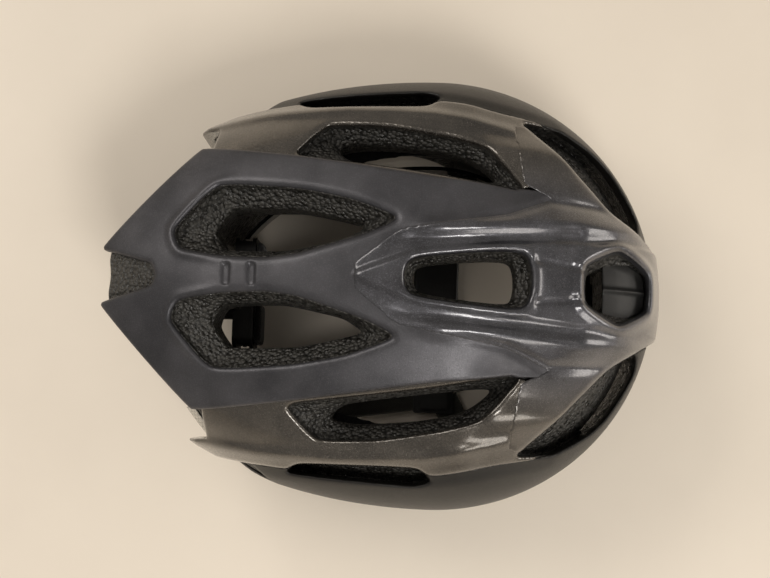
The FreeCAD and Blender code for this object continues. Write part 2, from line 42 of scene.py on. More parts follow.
# Vented in-mould bicycle helmet, seen from straight above. The shells and the foam are
# meshed from distance fields worked out in millimetres in the CAD frame:
# +X forward, +Y the wearer's left, +Z up.

CELL = 0.8        # grid step of the distance fields
SHELL = 1.8                         # thickness of the moulded shells
LIP_DEPTH = 5.0                     # how far the shells reach down into the vents
TUCK = 1.2                          # how far a lower shell runs in under the one over it
TO_METRES = 0.001

# ---------------------------------------------------------------- camera, floor, light
scene = bpy.context.scene
camera_data = bpy.data.cameras.new("camera")
camera_data.lens = 57.5
camera_data.sensor_width = 36.0
camera = bpy.data.objects.new("camera", camera_data)
scene.collection.objects.link(camera)
scene.camera = camera
eye = Vector((-0.0008, -0.0560, 0.6975))
target = Vector((-0.0008, -0.0016, 0.1000))
look = (target - eye).normalized()
right = look.cross(Vector((0, 1, 0))).normalized()
above = right.cross(look)
roll = math.radians(1.7)            # the front of the helmet points a little down in the view
side = right * math.cos(roll) + above * math.sin(roll)
top = above * math.cos(roll) - right * math.sin(roll)
camera.matrix_world = Matrix((
    (side.x, top.x, -look.x, eye.x), (side.y, top.y, -look.y, eye.y),
    (side.z, top.z, -look.z, eye.z), (0, 0, 0, 1)))


def mesh_object(name, points, faces, smooth=True):
    mesh = bpy.data.meshes.new(name)
    mesh.from_pydata(points, [], faces)
    mesh.update()
    if smooth:
        mesh.shade_smooth()
    obj = bpy.data.objects.new(name, mesh)
    scene.collection.objects.link(obj)
    return obj


floor = mesh_object("floor", [(-3, -3, 0), (3, -3, 0), (3, 3, 0), (-3, 3, 0)], [(0, 1, 2, 3)])


def area_light(name, place, aim, size, power, colour):
    data = bpy.data.lights.new(name, "AREA")
    data.shape = "RECTANGLE"
    data.size, data.size_y = size
    data.energy = power
    data.color = colour
    obj = bpy.data.objects.new(name, data)
    obj.location = place
    obj.rotation_euler = (Vector(aim) - Vector(place)).to_track_quat("-Z", "Y").to_euler()
    scene.collection.objects.link(obj)
    return obj


WARM = (1.0, 0.94, 0.86)
area_light("key", (-0.9, 0.65, 1.15), (0, 0, 0.05), (0.9, 0.6), 9.5, WARM)
area_light("ridge", (0.35, -0.80, 1.35), (0.02, 0, 0.1), (0.45, 0.40), 9.0, (1.0, 0.96, 0.90))
area_light("side", (0.85, -1.35, 0.75), (0, 0, 0.08), (0.8, 0.5), 6.5, WARM)
area_light("front", (1.5, 0.0, 0.40), (0, 0, 0.08), (0.9, 0.35), 5.0, WARM)
world = bpy.data.worlds.new("room")
world.use_nodes = True
world.node_tree.nodes["Background"].inputs["Color"].default_value = (0.88, 0.82, 0.74, 1)
world.node_tree.nodes["Background"].inputs["Strength"].default_value = 0.42
scene.world = world
scene.view_settings.view_transform = "Standard"


# ---------------------------------------------------------------- materials
def graph(name):
    material = bpy.data.materials.new(name)
    material.use_nodes = True
    tree = material.node_tree
    return material, tree, tree.nodes["Principled BSDF"]


def node(tree, kind, inputs=(), **settings):
    made = tree.nodes.new(kind)
    for key, value in settings.items():
        setattr(made, key, value)
    for key, value in dict(inputs).items():
        if hasattr(value, "links"):
            tree.links.new(value, made.inputs[key])
        else:
            made.inputs[key].default_value = value
    return made


def place(tree):
    """Position in the row frame, in metres."""
    return node(tree, "ShaderNodeTexCoord").outputs["Object"]


def noise(tree, scale, detail=3.0, rough=0.5):
    return node(tree, "ShaderNodeTexNoise", {
        "Vector": place(tree), "Scale": scale, "Detail": detail, "Roughness": rough}).outputs["Fac"]


def spread(tree, value, low, high, low_at=0.0, high_at=1.0):
    return node(tree, "ShaderNodeMapRange", {
        "Value": value, "From Min": low_at, "From Max": high_at,
        "To Min": low, "To Max": high}).outputs["Result"]


def blend_colours(tree, factor, a, b):
    mix = node(tree, "ShaderNodeMix", data_type="RGBA")
    tree.links.new(factor, mix.inputs["Factor"])
    for socket, value in ((mix.inputs[6], a), (mix.inputs[7], b)):
        if hasattr(value, "links"):
            tree.links.new(value, socket)
        else:
            socket.default_value = (*value, 1)
    return mix.outputs[2]


def bump(tree, height, distance, strength=1.0, normal=None):
    made = node(tree, "ShaderNodeBump", {"Height": height, "Strength": strength,
                                         "Distance": distance})
    if normal is not None:
        tree.links.new(normal, made.inputs["Normal"])
    return made.outputs["Normal"]


def paint(name, dark, light, metallic, rough, coat, flake=0.35, peel=0.00003, sides=None):
    """Metallic lacquer: flakes under a clear coat, orange peel, fine handling marks.

    The shade turns towards sides, a dark and a light colour, on the flanks of the helmet.
    """
    material, tree, shader = graph(name)
    cells = node(tree, "ShaderNodeTexVoronoi", {"Vector": place(tree), "Scale": 2600.0})
    split = node(tree, "ShaderNodeSeparateColor", {"Color": cells.outputs["Color"]})
    sparkle = spread(tree, split.outputs[0], 0.0, 1.0, 0.72, 1.0)
    cloud = spread(tree, noise(tree, 45.0), 0.0, 0.35, 0.35, 0.7)
    level = node(tree, "ShaderNodeMath", {0: cloud, 1: node(tree, "ShaderNodeMath", {
        0: sparkle, 1: flake}, operation="MULTIPLY").outputs[0]}, operation="ADD",
        use_clamp=True).outputs[0]
    colour = blend_colours(tree, level, dark, light)
    if sides:
        across = node(tree, "ShaderNodeSeparateXYZ", {"Vector": place(tree)}).outputs["Y"]
        away = node(tree, "ShaderNodeMath", {0: across}, operation="ABSOLUTE").outputs[0]
        flank = spread(tree, away, 0.0, 1.0, 0.036, 0.062)
        colour = blend_colours(tree, flank, colour, blend_colours(tree, level, *sides))
    tree.links.new(colour, shader.inputs["Base Color"])
    shader.inputs["Metallic"].default_value = metallic
    marks = noise(tree, 900.0, 5.0, 0.7)
    tree.links.new(spread(tree, marks, rough - 0.04, rough + 0.05, 0.3, 0.7),
                   shader.inputs["Roughness"])
    shader.inputs["Coat Weight"].default_value = coat
    shader.inputs["Coat Roughness"].default_value = 0.13
    lacquer = bump(tree, noise(tree, 420.0, 2.0), peel, 0.6)
    tree.links.new(lacquer, shader.inputs["Coat Normal"])
    tree.links.new(bump(tree, split.outputs[1], 0.00012, 0.55, lacquer), shader.inputs["Normal"])
    return material


def foam_material(name, colour):
    """Expanded beads of 1 to 3 mm, pressed together, each with its own shade and shine."""
    material, tree, shader = graph(name)
    beads = node(tree, "ShaderNodeTexVoronoi", {"Vector": place(tree), "Scale": 560.0})
    shade = node(tree, "ShaderNodeSeparateColor", {"Color": beads.outputs["Color"]}).outputs[1]
    tone = blend_colours(tree, shade, colour, tuple(c * 2.6 + 0.012 for c in colour))
    seam = spread(tree, beads.outputs["Distance"], 0.0, 1.0, 0.45, 0.75)
    tree.links.new(blend_colours(tree, seam, tone, tuple(c * 0.5 for c in colour)),
                   shader.inputs["Base Color"])
    tree.links.new(spread(tree, shade, 0.24, 0.60), shader.inputs["Roughness"])
    shader.inputs["Specular IOR Level"].default_value = 0.7
    first = bump(tree, noise(tree, 1300.0, 4.0, 0.6), 0.0005, 0.8)
    tree.links.new(bump(tree, beads.outputs["Distance"], -0.0012, 1.0, first),
                   shader.inputs["Normal"])
    return material


def plastic(name, dark, light, rough, grain=1400.0, depth=0.00006, coat=0.0):
    """Moulded plastic or rubber with a fine grain and rubbed patches."""
    material, tree, shader = graph(name)
    worn = spread(tree, noise(tree, 60.0, 5.0, 0.6), 0.0, 1.0, 0.35, 0.75)
    tree.links.new(blend_colours(tree, worn, dark, light), shader.inputs["Base Color"])
    tree.links.new(spread(tree, noise(tree, 180.0, 4.0), rough - 0.07, rough + 0.09, 0.3, 0.7),
                   shader.inputs["Roughness"])
    shader.inputs["Coat Weight"].default_value = coat
    tree.links.new(bump(tree, noise(tree, grain, 3.0), depth, 0.7), shader.inputs["Normal"])
    return material


def weave_material(name, dark, light, pitch, depth, rough=0.8):
    """Woven or knitted cloth. The threads follow the piece's UV map, in metres."""
    material, tree, shader = graph(name)
    uv = node(tree, "ShaderNodeTexCoord").outputs["UV"]
    parts = node(tree, "ShaderNodeSeparateXYZ", {"Vector": uv})
    waves = []
    for axis, share in (("X", 1.0), ("Y", 1.6)):
        turn = node(tree, "ShaderNodeMath", {
            0: parts.outputs[axis], 1: 2 * math.pi * share / pitch}, operation="MULTIPLY")
        waves.append(node(tree, "ShaderNodeMath", {0: turn.outputs[0]},
                          operation="SINE").outputs[0])
    woven = node(tree, "ShaderNodeMath", {0: waves[0], 1: waves[1]}, operation="MULTIPLY")
    height = spread(tree, woven.outputs[0], 0.0, 1.0, -1.0, 1.0)
    fuzz = noise(tree, 2500.0, 4.0, 0.7)
    tone = node(tree, "ShaderNodeMath", {0: height, 1: fuzz}, operation="MULTIPLY").outputs[0]
    tree.links.new(blend_colours(tree, spread(tree, tone, 0.0, 1.0, 0.1, 0.6), dark, light),
                   shader.inputs["Base Color"])
    shader.inputs["Roughness"].default_value = rough
    shader.inputs["Sheen Weight"].default_value = 0.25
    shader.inputs["Sheen Roughness"].default_value = 0.5
    tree.links.new(bump(tree, height, depth, 0.9, bump(tree, fuzz, depth * 0.4, 0.4)),
                   shader.inputs["Normal"])
    return material


def knit_material(name, dark, light):
    """Brushed knit over soft foam, in loops of about a millimetre."""
    material, tree, shader = graph(name)
    loops = node(tree, "ShaderNodeTexVoronoi", {"Vector": place(tree), "Scale": 1100.0,
                                                "Randomness": 0.55}).outputs["Distance"]
    cloud = spread(tree, noise(tree, 120.0, 5.0, 0.6), 0.0, 1.0, 0.3, 0.75)
    base = blend_colours(tree, cloud, dark, light)
    tree.links.new(blend_colours(tree, spread(tree, loops, 0.0, 0.6, 0.1, 0.7), base,
                                 tuple(c * 0.3 for c in dark)), shader.inputs["Base Color"])
    shader.inputs["Roughness"].default_value = 0.9
    shader.inputs["Sheen Weight"].default_value = 0.3
    tree.links.new(bump(tree, loops, -0.0005, 0.8, bump(tree, cloud, 0.0006, 0.4)),
                   shader.inputs["Normal"])
    return material


def metal(name, colour, rough):
    material, tree, shader = graph(name)
    streaks = noise(tree, 700.0, 6.0, 0.7)
    tree.links.new(blend_colours(tree, streaks, tuple(c * 0.8 for c in colour), colour),
                   shader.inputs["Base Color"])
    shader.inputs["Metallic"].default_value = 1.0
    tree.links.new(spread(tree, streaks, rough - 0.08, rough + 0.1, 0.3, 0.7),
                   shader.inputs["Roughness"])
    tree.links.new(bump(tree, streaks, 0.00002, 0.5), shader.inputs["Normal"])
    return material


def prism_tape(name):
    """Pale retroreflective tape with its honeycomb of fine cells."""
    material, tree, shader = graph(name)
    cells = node(tree, "ShaderNodeTexVoronoi", {"Vector": place(tree), "Scale": 520.0,
                                                "Randomness": 0.05},
                 feature="DISTANCE_TO_EDGE").outputs["Distance"]
    line = spread(tree, cells, 0.0, 1.0, 0.02, 0.09)
    tree.links.new(blend_colours(tree, line, (0.42, 0.40, 0.36), (0.80, 0.76, 0.68)),
                   shader.inputs["Base Color"])
    tree.links.new(spread(tree, noise(tree, 250.0), 0.15, 0.35), shader.inputs["Roughness"])
    tree.links.new(bump(tree, line, 0.0001, 0.5), shader.inputs["Normal"])
    return material


def table_top():
    """Pale laminate table with a faint mottle."""
    material, tree, shader = graph("table_top")
    mottle = spread(tree, noise(tree, 7.0, 6.0, 0.6), 0.0, 1.0, 0.3, 0.7)
    tree.links.new(blend_colours(tree, mottle, (0.770, 0.695, 0.600), (0.815, 0.740, 0.640)),
                   shader.inputs["Base Color"])
    tree.links.new(spread(tree, noise(tree, 240.0, 4.0), 0.42, 0.60), shader.inputs["Roughness"])
    tree.links.new(bump(tree, noise(tree, 600.0, 4.0), 0.00004, 0.4), shader.inputs["Normal"])
    return material


floor.data.materials.append(table_top())
DECK = paint("deck_satin", (0.050, 0.050, 0.056), (0.150, 0.148, 0.162), 0.75, 0.42, 0.03, 0.20)
CREST = paint("crest_gloss", (0.042, 0.042, 0.049), (0.186, 0.188, 0.212), 0.80, 0.30, 0.85, 0.40,
              sides=((0.046, 0.041, 0.036), (0.180, 0.160, 0.137)))
BAND = paint("band_champagne", (0.046, 0.041, 0.036), (0.180, 0.160, 0.137), 0.80, 0.28, 0.9, 0.30)
RIM = paint("rim_dark", (0.006, 0.0055, 0.005), (0.022, 0.020, 0.018), 0.35, 0.46, 0.10, 0.25)
# Near-black finish of the brow-vent scoop: painted shade of the vent's deep inside
VENT_SHADE_BLACK = paint("vent_shade_black", (0.002, 0.002, 0.002), (0.005, 0.005, 0.005), 0.0, 0.50, 0.05, 0.1)
FOAM = foam_material("bead_foam", (0.014, 0.013, 0.011))
PLASTIC = plastic("black_nylon", (0.010, 0.010, 0.010), (0.026, 0.025, 0.024), 0.42)
CRADLE = plastic("cradle_gloss", (0.006, 0.006, 0.006), (0.016, 0.016, 0.015), 0.20,
                 500.0, 0.00003, 0.5)
KNOB = plastic("knob_rubber", (0.014, 0.014, 0.013), (0.035, 0.034, 0.032), 0.62, 2200.0, 0.0001)
RING = plastic("strap_rubber", (0.012, 0.012, 0.012), (0.028, 0.027, 0.026), 0.7, 1800.0, 0.00008)
WEBBING = weave_material("webbing", (0.012, 0.012, 0.010), (0.065, 0.060, 0.045), 0.0014, 0.00018)
KNIT = knit_material("pad_knit", (0.014, 0.014, 0.015), (0.040, 0.039, 0.040))
HOOK = knit_material("hook_tape", (0.020, 0.020, 0.021), (0.050, 0.049, 0.048))
TAPE = prism_tape("reflector_tape")
STEEL = metal("pin_steel", (0.55, 0.54, 0.52), 0.30)

finishes = {
    "cradle_arm_left": CRADLE, "cradle_arm_right": CRADLE, "dial_cover": PLASTIC,
    "dial_housing": PLASTIC, "slider_strip": CRADLE, "slider_rail": PLASTIC,
    "rack_band_left": PLASTIC, "rack_band_right": PLASTIC, "dial_pinion": PLASTIC,
    "dial_knob": KNOB, "temple_stud_left": PLASTIC, "temple_stud_right": PLASTIC,
    "anchor_front_left": PLASTIC, "anchor_front_right": PLASTIC,
    "anchor_rear_left": PLASTIC, "anchor_rear_right": PLASTIC,
    "divider_left": PLASTIC, "divider_right": PLASTIC,
    "cam_lever_left": PLASTIC, "cam_lever_right": PLASTIC,
    "cam_pin_left": STEEL, "cam_pin_right": STEEL, "buckle_socket": PLASTIC,
    "buckle_tongue": PLASTIC, "strap_ring": RING, "pad_dots": HOOK,
}
for name, material in finishes.items():
    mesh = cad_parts[name].data
    mesh.materials.clear()
    mesh.materials.append(material)

# ---------------------------------------------------------------- distance fields
REACH = (144.0, 118.0, 154.0)
counts = [int(2 * REACH[0] / CELL), int(2 * REACH[1] / CELL), int((REACH[2] + 4) / CELL)]
corner = (-REACH[0], -REACH[1] + CELL / 2, -4.0)
X = (corner[0] + CELL * np.arange(counts[0], dtype=np.float32)).reshape(-1, 1, 1)
Y = (corner[1] + CELL * np.arange(counts[1], dtype=np.float32)).reshape(1, -1, 1)
Z = (corner[2] + CELL * np.arange(counts[2], dtype=np.float32)).reshape(1, 1, -1)
AY = np.abs(Y)
WIDEST_X = 25.0
WIDEST_Z = 55.0
LOWER = 161.0


def egg(front, back, half, high):
    """Signed distance, near enough, to an egg of ellipsoid patches."""
    dx = X - WIDEST_X
    dz = Z - WIDEST_Z
    rx = np.where(dx > 0, front, back).astype(np.float32)
    rz = np.where(dz > 0, high - WIDEST_Z, LOWER).astype(np.float32)
    q = np.sqrt((dx / rx) ** 2 + (Y / half) ** 2 + (dz / rz) ** 2)
    slope = np.sqrt((dx / rx ** 2) ** 2 + (Y / half ** 2) ** 2 + (dz / rz ** 2) ** 2)
    return q * (q - 1) / np.maximum(slope, 1e-4)


def oval(front, back, half):
    dx = X - WIDEST_X
    rx = np.where(dx > 0, front, back)
    q = np.sqrt((dx / rx) ** 2 + (Y / half) ** 2)
    slope = np.sqrt((dx / rx ** 2) ** 2 + (Y / half ** 2) ** 2)
    return (q * (q - 1) / np.maximum(slope, 1e-4)).astype(np.float32)


def join(a, b, soft=0.0):
    """Intersection of two solids, its edge rounded over soft millimetres."""
    larger = np.maximum(a, b)
    if soft <= 0:
        return larger
    near = np.maximum(soft - np.abs(a - b), 0) / soft
    return larger + near * near * (soft / 4)


def add(a, b, soft=0.0):
    return -join(-a, -b, soft)


def step(value, low, high):
    t = np.clip((value - low) / (high - low), 0, 1)
    return t * t * (3 - 2 * t)


def softened(points, cut=0.18, rounds=3):
    """Closed outline with its corners cut again and again until they are round."""
    points = [np.array(p, dtype=float) for p in points]
    for _ in range(rounds):
        out = []
        for a, b in zip(points, points[1:] + points[:1]):
            out += [a + (b - a) * cut, b + (a - b) * cut]
        points = out
        cut = 0.25
    return points


def outline(points, cut=0.18, rounds=3, mirrored=False):
    """Plan distance to an outline on the left side, or to its two mirrored copies."""
    loop = softened(points, cut, rounds) if rounds else [np.array(p, dtype=float) for p in points]
    px = X[:, :, 0]
    py = AY[:, :, 0] if mirrored else Y[:, :, 0]
    best = np.full((counts[0], counts[1]), 1e9)
    inside = np.zeros((counts[0], counts[1]), dtype=bool)
    for a, b in zip(loop, loop[1:] + loop[:1]):
        ex, ey = b - a
        length = ex * ex + ey * ey
        if length < 1e-9:
            continue
        t = np.clip(((px - a[0]) * ex + (py - a[1]) * ey) / length, 0, 1)
        best = np.minimum(best, (px - a[0] - t * ex) ** 2 + (py - a[1] - t * ey) ** 2)
        if ey != 0:
            crosses = (py >= min(a[1], b[1])) & (py < max(a[1], b[1]))
            inside ^= crosses & (px < a[0] + (py - a[1]) * ex / ey)
    field = np.sqrt(best) * np.where(inside, -1, 1)
    return field.astype(np.float32)[:, :, None]


def whole(points):
    """Outline across the middle, from its left half listed from front to back."""
    return points + [(x, -y) for x, y in reversed(points) if y > 0]


def line(points):
    """Plan distance to an open line on the left side and to its mirrored copy."""
    px = X[:, :, 0]
    py = AY[:, :, 0]
    best = np.full((counts[0], counts[1]), 1e9)
    for a, b in zip(points, points[1:]):
        ex, ey = b[0] - a[0], b[1] - a[1]
        t = np.clip(((px - a[0]) * ex + (py - a[1]) * ey) / (ex * ex + ey * ey), 0, 1)
        best = np.minimum(best, (px - a[0] - t * ex) ** 2 + (py - a[1] - t * ey) ** 2)
    return np.sqrt(best).astype(np.float32)[:, :, None]


def bell(distance, width):
    return np.exp(-(distance / width) ** 2)


# Openings, as plan outlines of the left side or across the middle
teardrop = outline([(4.5, 27), (-18, 35.5), (-42, 40.2), (-81, 43.3), (-100.5, 21), (-97, 12.5),
                    (-76, 9), (-56, 8.3), (-41, 10.2), (-10, 20)], 0.12, mirrored=True)
teardrop_hole = outline([(-9, 25), (-40, 32.5), (-74, 33.5), (-82, 22), (-77, 12.5), (-48, 12),
                         (-20, 18)], 0.12, mirrored=True)
centre = outline(whole([(65, 14), (8, 8.6)]), 0.14)
centre_hole = outline(whole([(59, 11.5), (12, 6.8)]), 0.14)
hexagon = outline(whole([(126.5, 9), (109.5, 17.5), (91.5, 9)]), 0.12)
hexagon_hole = outline(whole([(104, 11), (94.5, 6.5)]), 0.14)
side_gap = outline([(62, 44), (45, 64), (26, 69.2), (-2, 74.2), (-31, 75.4), (-45, 60), (-39, 58),
                    (-9, 54), (23, 49.5), (58, 43)], 0.12, mirrored=True)
side_hole = outline([(54, 48), (40, 60), (20, 65), (-12, 68), (-26, 66), (-20, 58), (22, 52)],
                    mirrored=True)
corner_gap = outline([(63.5, 80.5), (68, 76.5), (90, 55), (107, 38), (123.5, 28.5), (125, 38),
                      (118, 50), (110, 62), (101, 70), (82, 80)], 0.14, mirrored=True)
slot_gap = outline([(24, 93.7), (17.7, 87), (-41, 87), (-48, 92.5), (17, 96.5)], 0.12,
                   mirrored=True)
notch = outline([(-160, 21), (-139, 13), (-111, 5.2), (-109.3, 0), (-109.3, -1),
                 (-111, -5.2), (-139, -13), (-160, -21)], 0.08)
deck_plan = outline(whole([(80, 43.0), (58, 43.7), (23, 47), (-9, 52), (-41, 57), (-91, 63.5),
                           (-139, 13)]), 0.04)
crest_plan = outline(whole([(150, 17), (124, 28), (107, 38), (90, 55), (66, 79), (58, 77),
                            (62, 46), (76, 40), (54, 30.5), (5, 22), (-15, 6)]), 0.06)
band_plan = outline([(80, 81), (60, 84), (27, 91), (-48, 90.5), (-84, 87), (-99.5, 77.6), (-86, 77),
                     (-88, 58), (-40, 46), (45, 38), (80, 50)], 0.05, mirrored=True)
tongue = outline(whole([(150, 24), (112, 21.5), (60, 17.5), (12, 12.2), (-15, 2)]), 0.12)

# Domes, head room and the blend where the front meets the bands
deck_dome = egg(114, 198, 118, 150)
band_egg = egg(112.75, 180, 111, 147.5)
band_dome = join(band_egg, oval(153, 148, 125), 4.0)
wing_dome = join(band_egg, oval(153, 157, 127), 1.0)
head_room = egg(83, 123, 83, 126)
front_join = step(AY, 58, 76) * step(X, 30, 50)

# Relief of the crest and the deck, outward in millimetres
ridge = line([(6, 21.5), (30, 23.5), (60, 25), (95, 27), (124, 27)])
valley = line([(0, 15), (12, 17.2), (60, 21), (88, 23.5)])
relief = 1.8 * step(-tongue, -1.5, 2.5)
relief = relief + 3.0 * bell(ridge, 5.0) * step(X, 2, 26) * (1 - step(X, 112, 130))
relief = relief - 1.6 * bell(valley, 3.0) * step(X, -6, 14) * (1 - step(X, 84, 98))
relief = relief - 2.2 * step(AY, 30, 42) * step(X, 30, 62) * (1 - step(AY, 52, 66))
relief = relief - 1.4 * bell(line([(20, 24), (54, 30), (75, 38.5), (106, 37)]), 2.6) * (
    step(X, 20, 45) * (1 - step(X, 98, 110)))
relief = relief + 2.2 * bell(hexagon - 3.2, 3.0) + 1.0 * bell(centre - 2.5, 2.5) * step(X, 30, 60)
relief = relief - 1.3 * bell(line([(68, 9.5), (80, 8.2), (90, 7.0)]), 1.8)
relief = relief + 1.0 * bell(teardrop - 2.0, 2.2) * (1 - step(X, -92, -70))
clips = np.minimum(join(np.abs(X + 74) - 2.0, AY - 5.3, 1.5),
                   join(np.abs(X + 62) - 2.0, AY - 5.3, 1.5))
relief = relief - 1.1 * step(-clips, -0.3, 0.7)
top_form = (deck_dome - relief) * (1 - front_join) + band_dome * front_join

# Relief of the bands and the rim
band_ridge = line([(-92, 79), (-60, 83), (-20, 84), (20, 82), (58, 74)])
band_top = wing_dome * (1 - step(X, 20, 60)) + top_form * step(X, 20, 60)
band_form = band_top - 1.3 * bell(band_ridge, 3.2) + 0.9 * bell(band_plan - 1.6, 1.6)
rim_form = band_dome + 1.0 * (1 - step(band_plan, 0, 7))


def trimmed(form, *openings):
    """Outer form with each opening taken out and its lip rolled over by radius millimetres."""
    for opening, radius in openings:
        form = join(form, -opening, radius)
    return form


def skin(form, surface, plan=None):
    """Shell of the given form, which also lines the vents for a few millimetres."""
    solid = join(form, -(form + SHELL), 0.4)
    solid = np.maximum(solid, -(surface + LIP_DEPTH))
    return solid if plan is None else np.maximum(solid, plan)


def rim_trim(field):
    """Cut away what the rim leaves open: under the brow, over the ears and at the nape."""
    brow = 36.0 - Z - 0.030 * np.maximum(139 - X, 0) ** 1.75
    ear = join(Z - 26.0 + ((X + 12) / 7.6) ** 2 * 0.75, 40 - AY)
    nape = np.sqrt(AY ** 2 + np.maximum(Z - 31.0, 0) ** 2) - 27.0
    nape = join(nape, X + 70)
    field = join(field, -join(-brow, 60 - X) * 0.8, 1.2)
    field = join(field, -ear * 0.6, 1.2)
    return join(field, -nape, 1.2)


def under_corners(field):
    """Keep the side walls behind the edge of the deck that overhangs them."""
    beyond = -0.7246 * (X + 91) + 0.6887 * (AY - 63.5)
    return join(field, beyond + 1.5 - 0.55 * np.maximum(60 - Z, 0), 1.5)


def mesh_field(name, field, material, body="root", keep=None):
    """Mesh of where the field is below 0, as one object in metres."""
    if keep is not None:
        field = np.maximum(field, keep)
    full = np.array(np.broadcast_to(field, counts), dtype=np.float32)
    full[0], full[-1], full[:, 0], full[:, -1] = 5, 5, 5, 5
    full[:, :, 0], full[:, :, -1] = 5, 5
    grid = openvdb.FloatGrid(5.0)
    grid.copyFromArray(np.clip(full, -5, 5))
    points, quads = grid.convertToQuads(0.0)
    points = (points * CELL + np.array(corner)) * TO_METRES
    mesh = bpy.data.meshes.new(name)
    mesh.vertices.add(len(points))
    mesh.vertices.foreach_set("co", points.astype(np.float32).ravel())
    mesh.loops.add(4 * len(quads))
    mesh.polygons.add(len(quads))
    mesh.polygons.foreach_set("loop_start", np.arange(0, 4 * len(quads), 4, dtype=np.int32))
    a, b, c, d = (points[quads[:, i]] for i in range(4))
    volume = np.einsum("ij,ij->i", a, np.cross(b, c)) + np.einsum("ij,ij->i", a, np.cross(c, d))
    volume = volume.sum()
    if volume < 0:
        quads = quads[:, ::-1]
    mesh.loops.foreach_set("vertex_index", quads.astype(np.int32).ravel())
    mesh.update(calc_edges=True)
    mesh.validate()
    mesh.shade_smooth()
    mesh.materials.append(material)
    obj = bpy.data.objects.new(name, mesh)
    scene.collection.objects.link(obj)
    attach(obj, body)
    print("piece", name, len(quads), "faces")
    return obj


def both_sides(prefix, field, material, nodes, gap=0.0):
    """Left and right pieces of one field, which stand in for the nodes of that prefix."""
    for name, half in (("left", gap - Y), ("right", Y + gap)):
        piece = mesh_field(prefix + name, field, material, keep=half)
        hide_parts(nodes + name)


def floor_of(vent, hole, shallow, deep):
    """Pocket between a vent's outline and its through hole, as a solid to take away."""
    share = np.clip(-vent, 0.01, None) / (np.clip(-vent, 0.01, None) + np.clip(hole, 0.01, None))
    depth = shallow + (deep - shallow) * share
    return add(join(vent, -(top_or_band + depth), 1.0), hole, 1.5)


# One top surface over the whole helmet, for the vents' depth
crown_plan = np.minimum(deck_plan, crest_plan)
top_or_band = np.where(crown_plan < 0, top_form, band_dome)

tail_air = join(X + 116, Z - (66 + 0.55 * (-116 - X)), 1.0)
pockets = floor_of(teardrop, teardrop_hole, 6, 15)
pockets = add(pockets, floor_of(side_gap, side_hole, 6, 15))
pockets = add(pockets, floor_of(centre, centre_hole, 8, 13))
pockets = add(pockets, floor_of(hexagon, hexagon_hole, 6, 14))
pockets = add(pockets, join(corner_gap, -(top_or_band + 9.5), 1.0))
pockets = add(pockets, join(join(slot_gap, -(band_dome + 10), 1.0), 60 - Z))

# Shells
deck_edge = deck_plan - 6 * step(-crest_plan, -6, 0)      # no rolled edge beside the crest
deck_form = trimmed(join(top_form, deck_edge, 1.4), (teardrop, 4.5), (notch, 2.5), (side_gap, 1.5))
deck_solid = np.maximum(skin(deck_form, top_form), -(crest_plan + TUCK))  # tucks under the crest
deck_solid = np.maximum(deck_solid, deck_plan)
deck = mesh_field("deck", deck_solid, DECK)
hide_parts("rear_deck")

crest_form = trimmed(top_form - 0.3, (teardrop, 4.5), (centre, 4.0), (hexagon, 3.5),
                     (corner_gap, 3.0), (side_gap, 3.5))
crest_solid = np.maximum(skin(crest_form, top_form, crest_plan), WIDEST_Z - Z)
crest = mesh_field("crest", crest_solid, CREST)
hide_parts("crest_shell")

# The bands and the rim tuck in under the deck
under_deck = -np.maximum(deck_plan + TUCK, WIDEST_Z - 1 - Z)
band_edge = band_plan - 6 * step(-crest_plan, -8, -1)     # nor beside the crest
band_solid = trimmed(join(band_form, band_edge, 1.4), (side_gap, 3.5), (slot_gap, 2.0),
                     (corner_gap, 3.0))
band_solid = skin(band_solid, band_top)
band_solid = np.maximum(np.maximum(band_solid, under_deck), -(crest_plan + TUCK))
band_solid = np.maximum(band_solid, band_plan)
band_solid = rim_trim(np.maximum(band_solid, 40 - Z))
both_sides("band_", band_solid, BAND, "side_band_")

rim_solid = trimmed(rim_form, (side_gap, 3.0), (slot_gap, 2.0), (corner_gap, 2.5), (hexagon, 2.0))
rim_solid = skin(rim_solid, band_dome)
# The rim runs on below the foot of the crest
beside_crest = -np.maximum(crest_plan - 0.2, WIDEST_Z - 0.4 - Z)
rim_solid = np.maximum(np.maximum(rim_solid, under_deck), beside_crest)
rim_solid = np.maximum(np.maximum(rim_solid, -np.maximum(band_plan + 0.6, 45 - Z)), 6 - Z)
rim = mesh_field("rim", rim_trim(under_corners(rim_solid)), RIM)
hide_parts("rim_shell")

# Foam mouldings under the shells
crown_solid = join(top_form, crown_plan, 1.0) + SHELL + 2.6 * step(-notch, -2.5, 0)
crown_solid = join(crown_solid, -133.7 - (Y / 12) ** 2 * 4 - X, 1.5)
crown_solid = join(crown_solid, -pockets, 1.0)
crown_solid = join(crown_solid, -tail_air, 1.5)
crown_solid = join(crown_solid, -head_room, 1.5)
crown_solid = np.maximum(crown_solid, WIDEST_Z + 1 - Z)
crown = mesh_field("crown_liner", crown_solid, FOAM)
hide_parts("crown_foam")

ring_solid = join(band_dome + SHELL + 0.3, -pockets, 1.0)
under_crown = -np.maximum(crown_plan + SHELL - 0.3, WIDEST_Z + 0.6 - Z)
ring_solid = join(np.maximum(ring_solid, under_crown), -head_room, 2.0)
ring_solid = rim_trim(under_corners(np.maximum(ring_solid, 0.3 - Z)))
both_sides("side_liner_", ring_solid, FOAM, "side_foam_", gap=0.15)

# Glossy black scoop in the front half of the brow vent, with its parting ridge: a near-black sheet
# laid into the vent as painted shade of its deep inside
scoop_depth = 4.5 + 8.5 * (126.5 - X) / 24 - 1.2 * bell(Y, 1.1)
scoop_layer = join(top_form + scoop_depth - 1.6, -(top_form + scoop_depth), 0.4)
scoop_solid = np.maximum(np.maximum(scoop_layer, hexagon + 0.4), 103 - X)
scoop = mesh_field("brow_scoop", scoop_solid, VENT_SHADE_BLACK)

